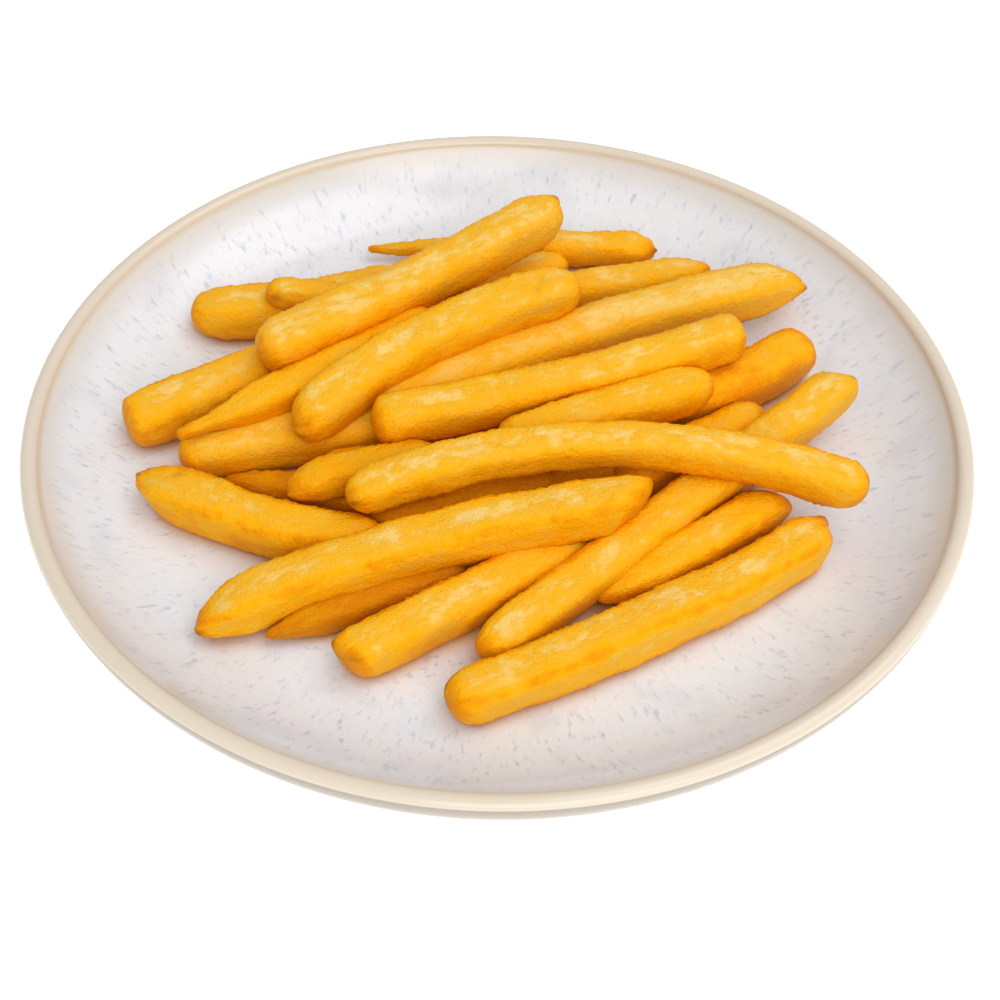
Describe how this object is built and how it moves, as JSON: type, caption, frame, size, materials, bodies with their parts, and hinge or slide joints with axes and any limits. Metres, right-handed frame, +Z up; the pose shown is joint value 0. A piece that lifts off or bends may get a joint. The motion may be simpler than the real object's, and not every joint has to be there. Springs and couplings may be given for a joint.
{
  "type": "plate of french fries",
  "caption": "Portion of golden french fries heaped loosely on a round coupe plate of speckled, cream-lipped glazed stoneware",
  "frame": {"origin": "centre of the plate's foot ring, in the plane it stands on", "axes": "+Z up along the plate's axis; the diner sits on the -Y side; +X to the diner's right"},
  "size_m": [0.21, 0.21, 0.0343],
  "materials": {
    "glazed_stoneware": "glossy warm white glaze with soft grey-blue speckles",
    "fried_potato": "golden, lightly oily fried crust"
  },
  "bodies": {
    "root": {"plate": "glazed_stoneware", "fries": "fried_potato"}
  },
  "joints": []
}
